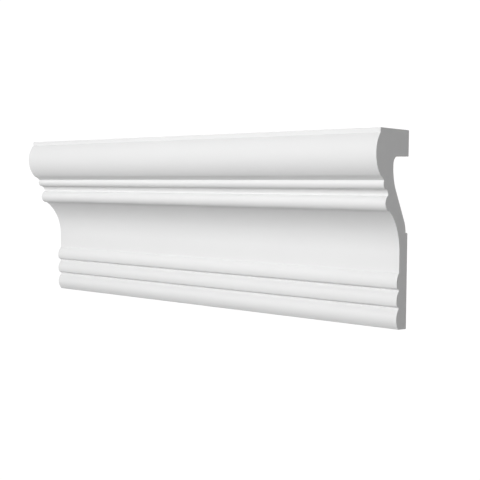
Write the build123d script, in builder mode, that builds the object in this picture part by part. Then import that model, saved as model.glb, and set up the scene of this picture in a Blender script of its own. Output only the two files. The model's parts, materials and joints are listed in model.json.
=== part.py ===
import os
from math import atan2, tan

from build123d import *

# A wall moulding: one moulded length with square-cut ends, lying on its back as on a floor.
# X runs along the length, +Y is up the wall once it is fitted, +Z points out of the wall.
# The origin is under the middle of the piece, on the plane of the wall.
length = 380.0

# Heights of the members on the face, from the top edge down.
cap_band = 3.6
cap_face_height = 30.4
neck_height = 3.2
string_height = 6.0
cove_radius = 5.0
bead_height = 11.3
cavetto_height = 31.5
frieze_height = 15.1
reed_count = 3
reed_face_height = 11.2
reed_return_height = 1.4
reed_quirk_height = 1.0
foot_round_height = 4.2
bottom_drop = 1.3

# Steps of the members on the face, from the wall outwards.
frieze_thickness = 13.0
reed_lip = 3.0
foot_round_depth = 2.9
cavetto_reach = 17.2
bead_root_step = 2.3
string_ledge = 0.4
string_tuck = 1.3
cap_overhang = 6.4
cap_tuck = 1.4

# How far the rounded members swell out beyond the line between their two edges.
cap_bulge = 6.75
string_bulge = 1.2
bead_bulge = 5.2
reed_bulge = 2.0

# How far the neck is hollowed behind the line between its two edges.
neck_hollow = 0.4

# Back of the moulding: two flat lands that meet the wall, and the hollow between them.
cap_land_height = 19.6
hollow_corner_radius = 6.6
hollow_wall_height = 3.2
hollow_bend_reach = 7.8
neck_wall = 14.3
step_depth = 3.2
step_height = 0.8
step_bend_reach = 4.2
land_lap = 14.2

# Small rounding of the long outer edges.
arris_radius = 0.6

# Levels of the members below the top edge.
cap_top = cap_band
cap_foot = cap_top + cap_face_height
string_top = cap_foot + neck_height
string_foot = string_top + string_height
bead_top = string_foot + cove_radius
cavetto_top = bead_top + bead_height
frieze_top = cavetto_top + cavetto_height
reeds_top = frieze_top + frieze_height
reed_pitch = reed_face_height + reed_return_height + reed_quirk_height
last_lip = reeds_top + (reed_count - 1) * reed_pitch + reed_face_height
foot = last_lip + foot_round_height
height = foot + bottom_drop

# Distances of the members from the wall.
lip_out = frieze_thickness + reed_lip
bead_foot_out = frieze_thickness + cavetto_reach
bead_top_out = bead_foot_out + bead_root_step
string_foot_out = bead_top_out + cove_radius + string_ledge
string_out = string_foot_out + string_tuck
cap_out = string_out + cap_overhang
cap_foot_out = cap_out - cap_tuck

# Hollow: straight down from its rounded corner, then a long slope to a small step at the lower land.
hollow_depth = string_out - neck_wall
slope_top = cap_land_height + hollow_corner_radius + hollow_wall_height + hollow_bend_reach
step_level = frieze_top - land_lap
slope_foot = step_level - step_height - step_bend_reach
slope_angle = atan2(hollow_depth - step_depth, slope_foot - slope_top)
hollow_bend_radius = hollow_bend_reach / tan(slope_angle / 2)
step_bend_radius = step_bend_reach / tan(slope_angle / 2)


def section_point(level, out):
    """Point of the section at a level below the top edge and a distance out from the wall."""
    return (height / 2 - level, out)


with BuildPart() as moulding:
    with BuildSketch(Plane.YZ) as section:
        with BuildLine():
            # Top edge and the bulging face of the cap.
            top_back = section_point(0, 0)
            top_front = section_point(0, cap_out)
            cap_upper = section_point(cap_top, cap_out)
            cap_lower = section_point(cap_foot, cap_foot_out)
            Polyline(top_back, top_front, cap_upper)
            SagittaArc(cap_lower, cap_upper, cap_bulge)

            # Slightly hollow neck that slopes back under the cap.
            string_upper = section_point(string_top, string_out)
            SagittaArc(string_upper, cap_lower, -neck_hollow)

            # Rounded string, tucked in at its foot, and the cove below it.
            string_lower = section_point(string_foot, string_foot_out)
            cove_upper = section_point(string_foot, bead_top_out + cove_radius)
            bead_upper = section_point(bead_top, bead_top_out)
            SagittaArc(string_lower, string_upper, string_bulge)
            Line(string_lower, cove_upper)
            TangentArc(cove_upper, bead_upper, tangent=(0, -1))

            # Bead, cavetto and plain frieze.
            bead_lower = section_point(cavetto_top, bead_foot_out)
            frieze_upper = section_point(frieze_top, frieze_thickness)
            frieze_lower = section_point(reeds_top, frieze_thickness)
            SagittaArc(bead_lower, bead_upper, bead_bulge)
            TangentArc(frieze_upper, bead_lower, tangent=(1, 0))
            Line(frieze_upper, frieze_lower)

            # Reeds, each with a steep return to a narrow flat quirk above the next one.
            reed_upper = frieze_lower
            reed_lips = []
            for index in range(reed_count):
                reed_level = reeds_top + index * reed_pitch
                lip = section_point(reed_level + reed_face_height, lip_out)
                reed_face = SagittaArc(lip, reed_upper, reed_bulge)
                if index < reed_count - 1:
                    next_level = reed_level + reed_pitch
                    quirk_upper = section_point(next_level - reed_quirk_height, frieze_thickness)
                    reed_upper = section_point(next_level, frieze_thickness)
                    Polyline(lip, quirk_upper, reed_upper)
                    reed_lips.append(lip)

            # The last reed rounds under into the bottom edge, which drops a little towards the wall.
            foot_front = section_point(foot, lip_out - foot_round_depth)
            bottom_back = section_point(height, 0)
            TangentArc(lip, foot_front, tangent=reed_face % 0 * -1)
            Line(foot_front, bottom_back)

            # Lower land, step, hollow and upper land.
            land_upper = section_point(step_level, 0)
            step_inner = section_point(step_level, step_depth)
            slope_lower = section_point(slope_foot, step_depth)
            slope_upper = section_point(slope_top, hollow_depth)
            hollow_corner = section_point(cap_land_height, hollow_depth)
            cap_land_lower = section_point(cap_land_height, 0)
            Polyline(bottom_back, land_upper, step_inner)
            FilletPolyline(
                step_inner,
                slope_lower,
                slope_upper,
                hollow_corner,
                cap_land_lower,
                radius=(step_bend_radius, hollow_bend_radius, hollow_corner_radius),
            )
            Line(cap_land_lower, top_back)
        make_face()

        # Long outer edges are eased a little.
        outer_edges = [top_back, top_front, *reed_lips, land_upper, cap_land_lower]
        fillet([section.vertices().sort_by_distance(edge)[0] for edge in outer_edges], arris_radius)
    extrude(amount=length / 2, both=True)

moulding.part.label = "wall_moulding"
os.makedirs("parts", exist_ok=True)
export_step(moulding.part, "parts/wall_moulding.step")
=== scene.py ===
# %% [markdown]
# # A wall moulding
# The object is one straight length of white wall moulding, lying on its back with its face up.
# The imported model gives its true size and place. This lesson draws the same section again with
# fine curves, pulls it out to the full length, paints it, and photographs it on a white table.

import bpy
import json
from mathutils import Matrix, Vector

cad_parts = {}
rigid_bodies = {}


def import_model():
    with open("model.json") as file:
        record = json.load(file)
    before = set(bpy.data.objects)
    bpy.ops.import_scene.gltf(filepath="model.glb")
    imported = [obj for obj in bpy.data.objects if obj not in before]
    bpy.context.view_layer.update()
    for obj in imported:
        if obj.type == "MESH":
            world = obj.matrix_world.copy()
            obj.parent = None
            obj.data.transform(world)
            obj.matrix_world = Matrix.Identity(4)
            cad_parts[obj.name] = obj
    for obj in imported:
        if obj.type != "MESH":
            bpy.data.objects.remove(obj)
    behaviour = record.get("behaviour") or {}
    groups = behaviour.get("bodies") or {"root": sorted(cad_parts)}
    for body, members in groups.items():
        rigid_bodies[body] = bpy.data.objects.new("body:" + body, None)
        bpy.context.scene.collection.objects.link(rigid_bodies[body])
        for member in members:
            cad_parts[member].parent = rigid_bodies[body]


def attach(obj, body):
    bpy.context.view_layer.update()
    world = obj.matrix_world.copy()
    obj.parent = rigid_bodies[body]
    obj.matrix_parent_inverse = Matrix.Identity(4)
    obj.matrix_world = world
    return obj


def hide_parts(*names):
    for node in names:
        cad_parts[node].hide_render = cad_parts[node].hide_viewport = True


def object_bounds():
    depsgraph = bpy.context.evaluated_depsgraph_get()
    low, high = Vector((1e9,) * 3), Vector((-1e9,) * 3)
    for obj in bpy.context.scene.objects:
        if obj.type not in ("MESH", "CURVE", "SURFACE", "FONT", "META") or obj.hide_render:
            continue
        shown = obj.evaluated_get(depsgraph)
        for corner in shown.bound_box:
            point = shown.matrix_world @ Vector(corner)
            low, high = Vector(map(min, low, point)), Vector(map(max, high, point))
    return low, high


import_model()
cad_low, cad_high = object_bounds()
print("CAD box in metres:", list(cad_low), list(cad_high))

# %% [markdown]
# ## A pen for the section
# A moulding is a section that never changes along its length, so the section is all there is to draw.
# It could be a curve with a bevel, but a mesh keeps every strip in hand. A single vertex works as a
# pen: extruding it draws a straight run, and spinning it about a centre draws an arc. Each stroke goes
# down the face or up the back in the plane of the right-hand end. A level is measured in millimetres
# down from the top edge, and "out" is measured out from the wall. Arcs are cut in steps of half a
# millimetre, fine enough to look round close up.

# %% Pen helpers
import json
import math

import bpy
from mathutils import Matrix, Vector

MM = 0.001
ARC_STEP = 0.5
LEAST_ARC_STEPS = 6
end_x = cad_high.x
top_y = cad_high.y
length = cad_high.x - cad_low.x


def section_point(level, out):
    """Point on the right-hand end plane, from its level and its distance out of the wall."""
    return Vector((end_x, top_y - level * MM, out * MM))


def start_stroke(level, out):
    """Put the pen down: a tiny plane merged into one vertex."""
    point = section_point(level, out)
    bpy.ops.mesh.select_all(action="DESELECT")
    bpy.ops.mesh.primitive_plane_add(size=MM, location=point)
    bpy.ops.mesh.merge(type="CENTER")
    return point


def draw_line(start, level, out):
    """Straight run from the pen to a new point, which is returned."""
    end = section_point(level, out)
    bpy.ops.mesh.extrude_region_move(TRANSFORM_OT_translate={"value": end - start})
    return end


def draw_arc(start, level, out, swell):
    """Arc from the pen to a new point. Swell is its rise over the chord, negative for a hollow."""
    end = section_point(level, out)
    chord = end - start
    rise = abs(swell) * MM
    radius = (chord.length ** 2 / 4 + rise ** 2) / (2 * rise)
    turn = 4 * math.atan2(rise, chord.length / 2)
    axis = Vector((-1, 0, 0)) if swell > 0 else Vector((1, 0, 0))
    bulge = axis.cross(chord.normalized())
    centre = (start + end) / 2 + bulge * (rise - radius)
    steps = max(LEAST_ARC_STEPS, round(radius * turn / (ARC_STEP * MM)))
    bpy.ops.mesh.spin(steps=steps, angle=turn, center=centre, axis=axis)
    return end


def tangent_swell(tangent_run, side_step):
    """Rise over the chord of an arc that starts along tangent_run and ends side_step aside."""
    chord = math.hypot(tangent_run, side_step)
    half_turn = math.atan2(side_step, tangent_run)
    return chord / 2 * math.tan(half_turn / 2)


print("Pen works on the plane x =", round(end_x, 4), "m, length", round(length, 4), "m")

# %% [markdown]
# ## Start of the piece
# The piece begins as a plane primitive whose points are deleted at once, so that its mesh is empty and
# its object sits at the origin, unturned and unscaled. Three material slots stand ready: the painted
# face, the raw back and the sawn ends.

# %% Empty piece with three slots
FACE_SLOT, BACK_SLOT, END_SLOT = range(3)
bpy.ops.object.select_all(action="DESELECT")
bpy.ops.mesh.primitive_plane_add(size=MM)
moulding = bpy.context.object
moulding.name = "painted_moulding"
for _ in (FACE_SLOT, BACK_SLOT, END_SLOT):
    bpy.ops.object.material_slot_add()
bpy.ops.object.mode_set(mode="EDIT")
bpy.ops.mesh.select_mode(type="VERT")
bpy.ops.mesh.select_all(action="SELECT")
bpy.ops.mesh.delete(type="VERT")
print("Started", moulding.name, "with", len(moulding.material_slots), "slots")

# %% [markdown]
# ## Cap
# The top of the face is a swelling cap with a narrow flat band above it. A bevelled box could only give
# it one round edge, so it is drawn: two straight runs, then one long arc. Swelling members are arcs
# with a positive rise, and hollow ones have a negative rise.

# %% Draw the cap
CAP_BAND, CAP_FOOT, CAP_BULGE = 3.6, 34.0, 6.75
CAP_OUT, CAP_FOOT_OUT = 45.6, 44.2
pen = start_stroke(0, 0)
pen = draw_line(pen, 0, CAP_OUT)
pen = draw_line(pen, CAP_BAND, CAP_OUT)
pen = draw_arc(pen, CAP_FOOT, CAP_FOOT_OUT, CAP_BULGE)
print("Cap ends", CAP_FOOT, "mm below the top edge")

# %% [markdown]
# ## Neck and string
# Under the cap a slightly hollow neck slopes back to a thin rounded string. Both are shallow arcs. A
# straight neck would be simpler, but its faint hollow catches the light in a soft band.

# %% Draw the neck and the string
NECK_HEIGHT, NECK_HOLLOW = 3.2, 0.4
STRING_HEIGHT, STRING_BULGE = 6.0, 1.2
STRING_OUT, STRING_FOOT_OUT = 39.2, 37.9
string_top = CAP_FOOT + NECK_HEIGHT
string_foot = string_top + STRING_HEIGHT
pen = draw_arc(pen, string_top, STRING_OUT, -NECK_HOLLOW)
pen = draw_arc(pen, string_foot, STRING_FOOT_OUT, STRING_BULGE)
print("String ends", round(string_foot, 2), "mm below the top edge")

# %% [markdown]
# ## Cove and bead
# A small cove leads from the underside of the string to a bold bead. The cove is a quarter circle that
# sets off level with that underside, so its rise follows from its radius and needs no value of its own.

# %% Draw the cove and the bead
COVE_RADIUS, BEAD_TOP_OUT = 5.0, 32.5
BEAD_HEIGHT, BEAD_FOOT_OUT, BEAD_BULGE = 11.3, 30.2, 5.2
bead_top = string_foot + COVE_RADIUS
bead_foot = bead_top + BEAD_HEIGHT
pen = draw_line(pen, string_foot, BEAD_TOP_OUT + COVE_RADIUS)
pen = draw_arc(pen, bead_top, BEAD_TOP_OUT, -tangent_swell(COVE_RADIUS, COVE_RADIUS))
pen = draw_arc(pen, bead_foot, BEAD_FOOT_OUT, BEAD_BULGE)
print("Bead ends", round(bead_foot, 2), "mm below the top edge")

# %% [markdown]
# ## Cavetto and frieze
# Below the bead the face sweeps back in one large hollow curve, the cavetto, and runs out into the plain
# frieze. The curve has to meet the frieze without a crease, so its rise comes from that as well.

# %% Draw the cavetto and the frieze
CAVETTO_HEIGHT, FRIEZE_HEIGHT, FRIEZE_OUT = 31.5, 15.1, 13.0
frieze_top = bead_foot + CAVETTO_HEIGHT
reeds_top = frieze_top + FRIEZE_HEIGHT
cavetto_swell = tangent_swell(CAVETTO_HEIGHT, BEAD_FOOT_OUT - FRIEZE_OUT)
pen = draw_arc(pen, frieze_top, FRIEZE_OUT, -cavetto_swell)
pen = draw_line(pen, reeds_top, FRIEZE_OUT)
print("Frieze runs from", round(frieze_top, 2), "to", round(reeds_top, 2), "mm")

# %% [markdown]
# ## Reeds and foot
# The foot carries three reeds. One reed is an arc that leaves the frieze steeply, a steep return, and a
# narrow flat quirk above the next one, so a loop draws them all. The last one rounds under into the
# bottom edge: that arc goes on in the direction in which the reed's arc ends.

# %% Draw the reeds and the rounded foot
REED_COUNT, REED_FACE, REED_LIP, REED_BULGE = 3, 11.2, 3.0, 2.0
REED_RETURN, REED_QUIRK = 1.4, 1.0
FOOT_HEIGHT, FOOT_DEPTH, BOTTOM_DROP = 4.2, 2.9, 1.3
lip_out = FRIEZE_OUT + REED_LIP
reed_pitch = REED_FACE + REED_RETURN + REED_QUIRK
lip_levels = [reeds_top + REED_FACE + reed * reed_pitch for reed in range(REED_COUNT)]
for lip_level in lip_levels:
    pen = draw_arc(pen, lip_level, lip_out, REED_BULGE)
    if lip_level != lip_levels[-1]:
        pen = draw_line(pen, lip_level + REED_RETURN, FRIEZE_OUT)
        pen = draw_line(pen, lip_level + REED_RETURN + REED_QUIRK, FRIEZE_OUT)
foot = lip_levels[-1] + FOOT_HEIGHT
height = foot + BOTTOM_DROP
reed_lean = math.atan2(REED_LIP, REED_FACE)
reed_half_turn = 2 * math.atan2(REED_BULGE, math.hypot(REED_LIP, REED_FACE) / 2)
foot_half_turn = math.atan2(FOOT_DEPTH, FOOT_HEIGHT) - (reed_half_turn - reed_lean)
foot_swell = math.hypot(FOOT_HEIGHT, FOOT_DEPTH) / 2 * math.tan(foot_half_turn / 2)
pen = draw_arc(pen, foot, lip_out - FOOT_DEPTH, foot_swell)
pen = draw_line(pen, height, 0)
print("Section is", round(height, 2), "mm high")

# %% [markdown]
# ## From stroke to strip
# The face is one open chain of edges. A Screw modifier without a turn could give it length, but extruding
# the whole chain once does the same with fewer settings: every edge becomes a long strip, which goes
# into the slot of the painted face.

# %% Pull a stroke out along the length
def pull_out(slot_index):
    """Extrude all loose edges on the end plane along the length, and give the strips a slot."""
    bpy.ops.mesh.select_all(action="DESELECT")
    bpy.ops.mesh.select_mode(type="EDGE")
    bpy.ops.mesh.select_non_manifold(
        extend=False,
        use_wire=True,
        use_boundary=False,
        use_multi_face=False,
        use_non_contiguous=False,
        use_verts=False,
    )
    bpy.ops.mesh.extrude_region_move(TRANSFORM_OT_translate={"value": (-length, 0, 0)})
    bpy.ops.mesh.select_linked()
    moulding.active_material_index = slot_index
    bpy.ops.object.material_slot_assign()
    bpy.ops.mesh.select_mode(type="VERT")


pull_out(FACE_SLOT)
moulding.update_from_editmode()
print("Face strips:", len(moulding.data.polygons))

# %% [markdown]
# ## Back
# The back has two flat lands that lie on the floor, and between them a hollow with a sloping roof, which
# saves foam and leaves room behind the moulding. It is drawn and pulled out in the same way as the face.
# Its corners stay sharp for now, because a bevel along the finished edges rounds them better than a pen.

# %% Draw the back and pull it out
CAP_LAND, HOLLOW_DEPTH, SLOPE_TOP = 19.6, 24.9, 37.2
LAND_LAP, STEP_DEPTH, STEP_HEIGHT, STEP_BEND = 14.2, 3.2, 0.8, 4.2
step_level = frieze_top - LAND_LAP
slope_foot = step_level - STEP_HEIGHT - STEP_BEND
pen = start_stroke(height, 0)
pen = draw_line(pen, step_level, 0)
pen = draw_line(pen, step_level, STEP_DEPTH)
pen = draw_line(pen, slope_foot, STEP_DEPTH)
pen = draw_line(pen, SLOPE_TOP, HOLLOW_DEPTH)
pen = draw_line(pen, CAP_LAND, HOLLOW_DEPTH)
pen = draw_line(pen, CAP_LAND, 0)
draw_line(pen, 0, 0)
pull_out(BACK_SLOT)
moulding.update_from_editmode()
print("Face and back strips:", len(moulding.data.polygons))

# %% [markdown]
# ## Closing the solid
# The two strips meet at the top and bottom back edges, where their doubled vertices are merged. That
# leaves one open loop at each end, and filling a loop with one face makes the saw cut. The normals are
# then set to point out, because a spin can leave them turned either way. The two saw cuts are the only
# faces that look along the length, so they are found by their normals and put in the slot of the ends.

# %% Merge, fill the ends and turn the normals out
MERGE_DISTANCE = 0.01 * MM
LOOKS_ALONG = 0.5
bpy.ops.mesh.select_all(action="SELECT")
bpy.ops.mesh.remove_doubles(threshold=MERGE_DISTANCE)
bpy.ops.mesh.fill_holes(sides=0)
bpy.ops.mesh.select_all(action="SELECT")
bpy.ops.mesh.normals_make_consistent(inside=False)
bpy.ops.mesh.select_mode(type="FACE")
bpy.ops.mesh.select_all(action="DESELECT")
bpy.ops.object.mode_set(mode="OBJECT")
for polygon in moulding.data.polygons:
    polygon.select = abs(polygon.normal.x) > LOOKS_ALONG
bpy.ops.object.mode_set(mode="EDIT")
moulding.active_material_index = END_SLOT
bpy.ops.object.material_slot_assign()
bpy.ops.object.mode_set(mode="OBJECT")
ends = [polygon for polygon in moulding.data.polygons if polygon.material_index == END_SLOT]
print("Closed solid:", len(moulding.data.polygons), "faces, of which", len(ends), "are saw cuts")

# %% [markdown]
# ## Eased edges
# A moulded piece has no knife edges. A Bevel modifier would round every edge alike, so each long edge
# that is to be rounded is found by its place in the section and bevelled by itself: the roof of the
# hollow with large bends, the outer edges by half a millimetre. A bevel is given its set-back from the
# edge. On a square edge that is the radius of the rounding, and on a blunter edge it is the radius times
# the tangent of half the turn.

# %% Round the long edges
ROUND_PROFILE = 0.5


def round_edges(places, setback, steps):
    """Bevel the long edges that pass through these (level, out) places of the section."""
    corners = [section_point(level, out).yz for level, out in places]
    bpy.ops.object.mode_set(mode="EDIT")
    bpy.ops.mesh.select_mode(type="EDGE")
    bpy.ops.mesh.select_all(action="DESELECT")
    bpy.ops.object.mode_set(mode="OBJECT")
    for edge in moulding.data.edges:
        one, other = (moulding.data.vertices[index].co for index in edge.vertices)
        is_long = abs(one.x - other.x) > length / 2
        is_near = any((one.yz - corner).length < MERGE_DISTANCE for corner in corners)
        edge.select = is_long and is_near
    bpy.ops.object.mode_set(mode="EDIT")
    bpy.ops.mesh.bevel(
        offset_type="OFFSET",
        offset=setback * MM,
        segments=steps,
        affect="EDGES",
        profile=ROUND_PROFILE,
    )
    bpy.ops.object.mode_set(mode="OBJECT")
    print("Rounded", len(places), "edges, set back", round(setback, 2), "mm")


BEND_STEPS, ARRIS_STEPS = 12, 4
HOLLOW_CORNER, HOLLOW_BEND, ARRIS = 6.6, 7.8, 0.6
round_edges([(CAP_LAND, HOLLOW_DEPTH)], HOLLOW_CORNER, BEND_STEPS)
round_edges([(SLOPE_TOP, HOLLOW_DEPTH)], HOLLOW_BEND, BEND_STEPS)
round_edges([(slope_foot, STEP_DEPTH)], STEP_BEND, BEND_STEPS)
round_edges([(0, 0), (0, CAP_OUT), (step_level, 0), (CAP_LAND, 0)], ARRIS, ARRIS_STEPS)
reed_lip_turn = math.atan2(REED_LIP, REED_RETURN) - (reed_half_turn - reed_lean)
lips = [(lip_level, lip_out) for lip_level in lip_levels[:-1]]
round_edges(lips, ARRIS * math.tan(reed_lip_turn / 2), ARRIS_STEPS)

# %% [markdown]
# ## Smooth shading
# The arcs are many narrow strips. Smoothing by angle blends the strips of one arc and keeps the crisp
# lines between members. Weighted normals then let the wide flats stay flat right up to their edges.

# %% Smooth the arcs and weigh the normals
SMOOTH_ANGLE = math.radians(28)
bpy.ops.object.select_all(action="DESELECT")
moulding.select_set(True)
bpy.context.view_layer.objects.active = moulding
bpy.ops.object.shade_smooth_by_angle(angle=SMOOTH_ANGLE)
bpy.ops.object.modifier_add(type="WEIGHTED_NORMAL")
moulding.modifiers[-1].keep_sharp = True
bpy.ops.object.modifier_apply(modifier=moulding.modifiers[-1].name)
print("Sharp edges kept:", sum(edge.use_edge_sharp for edge in moulding.data.edges))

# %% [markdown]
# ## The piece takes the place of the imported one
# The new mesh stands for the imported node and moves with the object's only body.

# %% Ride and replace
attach(moulding, "root")
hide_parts("wall_moulding")
print(moulding.name, "stands for wall_moulding")

# %% [markdown]
# ## Colours and nodes
# Colours are written as sRGB hex values, and one function turns them to the linear values that shaders
# use. Another small function adds any node, sets its sockets or properties, and links it. A pattern's
# scale is worked out from its size on the real surface, so that it can be checked with a ruler.

# %% Material helpers
def linear_colour(hex_colour):
    """Linear RGBA from an sRGB hex string such as E6E6E4."""
    channels = [int(hex_colour[index:index + 2], 16) / 255 for index in (0, 2, 4)]
    linear = [c / 12.92 if c <= 0.04045 else ((c + 0.055) / 1.055) ** 2.4 for c in channels]
    return (*linear, 1.0)


def add_node(tree, kind, settings, links=None):
    """Add a node, set its input sockets or properties by name, and link its inputs."""
    node = tree.nodes.new(kind)
    for name, value in settings.items():
        if name in node.inputs:
            node.inputs[name].default_value = value
        else:
            setattr(node, name, value)
    for name, source in (links or {}).items():
        tree.links.new(source, node.inputs[name])
    return node


def new_surface(name, base_hex, roughness, specular):
    """New material with a plain Principled shader. Returns the material and the shader."""
    material = bpy.data.materials.new(name)
    material.use_nodes = True
    shader = material.node_tree.nodes["Principled BSDF"]
    shader.inputs["Base Color"].default_value = linear_colour(base_hex)
    shader.inputs["Roughness"].default_value = roughness
    shader.inputs["Specular IOR Level"].default_value = specular
    return material, shader


def per_metre(size_mm):
    """Texture scale for a pattern with features of this size."""
    return 1 / (size_mm * MM)


print("A 1 mm pattern has scale", round(per_metre(1)))

# %% [markdown]
# ## White primer on the face
# The face is rigid foam with a sprayed coat of matt white primer. It looks even and soft, with a faint
# orange peel about a millimetre across and a tone that drifts a little over a few centimetres. Painted
# images could hold both but would need an unwrapped mesh, so noise is used: on Object coordinates it
# runs over all the members without a seam.

# %% White primer
PRIMER_HEX, PRIMER_ROUGHNESS, PRIMER_SPECULAR, PRIMER_IOR = "E0E0E0", 0.6, 0.3, 1.5
PEEL_SIZE, PEEL_DEPTH, PEEL_STRENGTH = 1.2, 0.02, 0.25
TONE_SIZE, TONE_DRIFT = 40.0, 0.015
primer, shader = new_surface(
    "sprayed_white_primer", PRIMER_HEX, PRIMER_ROUGHNESS, PRIMER_SPECULAR
)
shader.inputs["IOR"].default_value = PRIMER_IOR
tree = primer.node_tree
place = add_node(tree, "ShaderNodeTexCoord", {}).outputs["Object"]
tone = add_node(
    tree,
    "ShaderNodeTexNoise",
    {"Scale": per_metre(TONE_SIZE), "Detail": 3.0},
    {"Vector": place},
)
drift = add_node(
    tree,
    "ShaderNodeMapRange",
    {"To Min": 1 - TONE_DRIFT, "To Max": 1 + TONE_DRIFT},
    {"Value": tone.outputs["Fac"]},
)
tint = add_node(
    tree,
    "ShaderNodeHueSaturation",
    {"Color": linear_colour(PRIMER_HEX)},
    {"Value": drift.outputs["Result"]},
)
tree.links.new(tint.outputs["Color"], shader.inputs["Base Color"])
peel = add_node(
    tree,
    "ShaderNodeTexNoise",
    {"Scale": per_metre(PEEL_SIZE), "Detail": 2.0},
    {"Vector": place},
)
bump = add_node(
    tree,
    "ShaderNodeBump",
    {"Strength": PEEL_STRENGTH, "Distance": PEEL_DEPTH * MM},
    {"Height": peel.outputs["Fac"]},
)
tree.links.new(bump.outputs["Normal"], shader.inputs["Normal"])
moulding.material_slots[FACE_SLOT].material = primer
print("Made", primer.name)

# %% [markdown]
# ## Sawn foam at the ends, in a grey that is painted shade
# The saw cut shows the foam itself: dull and full of fine closed cells that the saw opened into pits.
# Its grey, darker than the white face, is painted shade that stands for an end turned from the lamps.
# Real cells are about 0.3 mm wide, too fine to show, so the pits are drawn at 0.7 mm. A Voronoi
# pattern suits them better than noise, because each cell has a rim. A slow cloud keeps the grey from
# looking like flat paint.

# %% Sawn foam
# The grey of the ends is painted shade: darker than the face, as an end turned away from the lamps.
FOAM_GREY_PAINTED_SHADE_HEX, FOAM_ROUGHNESS, FOAM_SPECULAR = "C0C0C0", 0.9, 0.2
CELL_SIZE, CELL_DEPTH, CELL_STRENGTH = 0.7, 0.05, 0.3
CLOUD_SIZE, CLOUD_DRIFT = 9.0, 0.03
foam, shader = new_surface("sawn_foam_painted_shade", FOAM_GREY_PAINTED_SHADE_HEX, FOAM_ROUGHNESS, FOAM_SPECULAR)
tree = foam.node_tree
place = add_node(tree, "ShaderNodeTexCoord", {}).outputs["Object"]
cloud = add_node(
    tree,
    "ShaderNodeTexNoise",
    {"Scale": per_metre(CLOUD_SIZE), "Detail": 4.0},
    {"Vector": place},
)
drift = add_node(
    tree,
    "ShaderNodeMapRange",
    {"To Min": 1 - CLOUD_DRIFT, "To Max": 1 + CLOUD_DRIFT},
    {"Value": cloud.outputs["Fac"]},
)
tint = add_node(
    tree,
    "ShaderNodeHueSaturation",
    {"Color": linear_colour(FOAM_GREY_PAINTED_SHADE_HEX)},
    {"Value": drift.outputs["Result"]},
)
tree.links.new(tint.outputs["Color"], shader.inputs["Base Color"])
cells = add_node(
    tree,
    "ShaderNodeTexVoronoi",
    {"Scale": per_metre(CELL_SIZE)},
    {"Vector": place},
)
bump = add_node(
    tree,
    "ShaderNodeBump",
    {"Strength": CELL_STRENGTH, "Distance": CELL_DEPTH * MM},
    {"Height": cells.outputs["Distance"]},
)
tree.links.new(bump.outputs["Normal"], shader.inputs["Normal"])
moulding.material_slots[END_SLOT].material = foam
print("Made", foam.name)

# %% [markdown]
# ## Bare skin on the back
# The back never sees paint. It keeps the closed skin that the foam forms against its mould: off-white,
# a little uneven and duller than the face. One noise drives both the tone and the bump, and the tone is
# painted darker in the dips of the bump and lighter on its crests: a faint painted shade.

# %% Bare moulded skin
SKIN_HEX, SKIN_ROUGHNESS, SKIN_SPECULAR = "D2D2CE", 0.75, 0.5
WAVE_SIZE, WAVE_DEPTH, WAVE_STRENGTH, WAVE_TONE_AND_SHADE = 6.0, 0.1, 0.4, 0.04
skin, shader = new_surface("bare_moulded_skin", SKIN_HEX, SKIN_ROUGHNESS, SKIN_SPECULAR)
tree = skin.node_tree
place = add_node(tree, "ShaderNodeTexCoord", {}).outputs["Object"]
waves = add_node(
    tree,
    "ShaderNodeTexNoise",
    {"Scale": per_metre(WAVE_SIZE), "Detail": 3.0},
    {"Vector": place},
)
# Painted shade: the tone follows the bump, darker in its dips and lighter on its crests.
drift = add_node(
    tree,
    "ShaderNodeMapRange",
    {"To Min": 1 - WAVE_TONE_AND_SHADE, "To Max": 1 + WAVE_TONE_AND_SHADE},
    {"Value": waves.outputs["Fac"]},
)
tint = add_node(
    tree,
    "ShaderNodeHueSaturation",
    {"Color": linear_colour(SKIN_HEX)},
    {"Value": drift.outputs["Result"]},
)
tree.links.new(tint.outputs["Color"], shader.inputs["Base Color"])
bump = add_node(
    tree,
    "ShaderNodeBump",
    {"Strength": WAVE_STRENGTH, "Distance": WAVE_DEPTH * MM},
    {"Height": waves.outputs["Fac"]},
)
tree.links.new(bump.outputs["Normal"], shader.inputs["Normal"])
moulding.material_slots[BACK_SLOT].material = skin
print("Made", skin.name)

# %% [markdown]
# ## White table
# The photograph has a clean white ground with no shadow, as on a photographer's light table. The floor
# here is such a table: it glows white by itself and reflects almost nothing, so that no shadow shows
# on it. A white painted floor would need far more light, and would show the piece's shadow. It lies a
# hair under the piece, so that the two never share a plane.

# %% Light table
FLOOR_SIZE = 12.0
FLOOR_GAP = 0.05 * MM
OPAL_HEX, OPAL_ROUGHNESS, OPAL_SPECULAR, OPAL_GLOW = "404040", 0.9, 0.0, 1.0
bpy.ops.object.select_all(action="DESELECT")
bpy.ops.mesh.primitive_plane_add(size=FLOOR_SIZE, location=(0, 0, cad_low.z - FLOOR_GAP))
table = bpy.context.object
table.name = "light_table"
opal, shader = new_surface("glowing_opal_sheet", OPAL_HEX, OPAL_ROUGHNESS, OPAL_SPECULAR)
shader.inputs["Emission Color"].default_value = linear_colour("FFFFFF")
shader.inputs["Emission Strength"].default_value = OPAL_GLOW
table.data.materials.append(opal)
print("Table is", FLOOR_SIZE, "m wide")

# %% [markdown]
# ## Light
# Two soft boxes of one size light the face. One hangs straight above it. The other leans over from the
# top edge, so that the upper sides of the members are bright and their undersides fall into soft shade.
# The world is a white room that only the camera sees. Its own light is switched off, because it would
# come from all sides and wash that shade out. It is given to the scene before that, since Blender looks
# up the scene's world each time such a switch is set.

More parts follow.
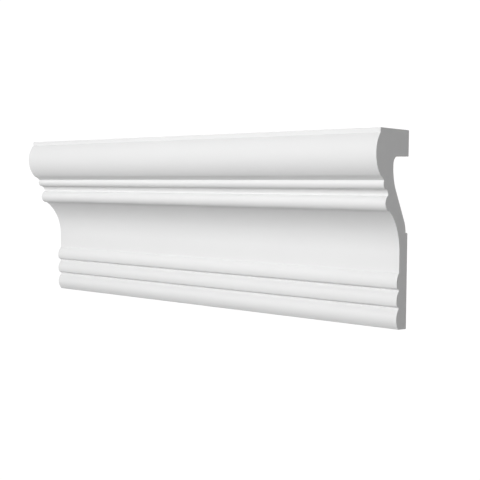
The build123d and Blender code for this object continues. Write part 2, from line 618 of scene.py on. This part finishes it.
# %% Soft boxes and world
LIGHT_DISTANCE, SOFT_BOX_SIZE = 1.6, 1.2
OVERHEAD_POWER, LEANING_POWER = 16.2, 17.9
LEAN = math.radians(25)
middle = (cad_low + cad_high) / 2


def hang_soft_box(name, tilt, power):
    """Square area light that faces the piece, tilted from straight above towards the top edge."""
    direction = Vector((0, math.sin(tilt), math.cos(tilt)))
    bpy.ops.object.light_add(type="AREA", location=middle + direction * LIGHT_DISTANCE)
    soft_box = bpy.context.object
    soft_box.name = name
    soft_box.data.size = SOFT_BOX_SIZE
    soft_box.data.energy = power
    soft_box.rotation_euler = direction.to_track_quat("Z", "Y").to_euler()
    print(name, "hangs at", [round(c, 2) for c in soft_box.location])


hang_soft_box("overhead_soft_box", 0, OVERHEAD_POWER)
hang_soft_box("leaning_soft_box", LEAN, LEANING_POWER)
room = bpy.data.worlds.new("white_room")
bpy.context.scene.world = room
room.use_nodes = True
room.node_tree.nodes["Background"].inputs["Color"].default_value = linear_colour("FFFFFF")
room.cycles_visibility.diffuse = False
room.cycles_visibility.glossy = False
print("Made", room.name)

# %% [markdown]
# ## Camera
# The lines of the moulding meet at a point far to the left, and the top edge of the end meets one to the
# right. Together they give a 60 mm lens, turned 37 degrees off the face and pitched 4 degrees down the
# wall. The piece lies on its back here, so the camera looks down on it, with the top edge up in the
# frame. The Standard view keeps the white of the table at full white.

# %% Camera
LENS_MM = 60
TURN, PITCH = math.radians(37.2), math.radians(4.35)
BEYOND_END, FROM_WALL, BELOW_TOP = 263.2 * MM, 555.4 * MM, 36.4 * MM
bpy.ops.object.camera_add(location=(end_x + BEYOND_END, top_y - BELOW_TOP, FROM_WALL))
camera = bpy.context.object
camera.data.lens = LENS_MM
right = Vector((math.cos(TURN), 0, -math.sin(TURN)))
level_back = Vector((math.sin(TURN), 0, math.cos(TURN)))
back = level_back * math.cos(PITCH) + Vector((0, math.sin(PITCH), 0))
up = back.cross(right)
camera.rotation_euler = Matrix((right, up, back)).transposed().to_euler()
bpy.context.scene.camera = camera
bpy.context.scene.view_settings.view_transform = "Standard"
print("Camera at", [round(c, 3) for c in camera.location])
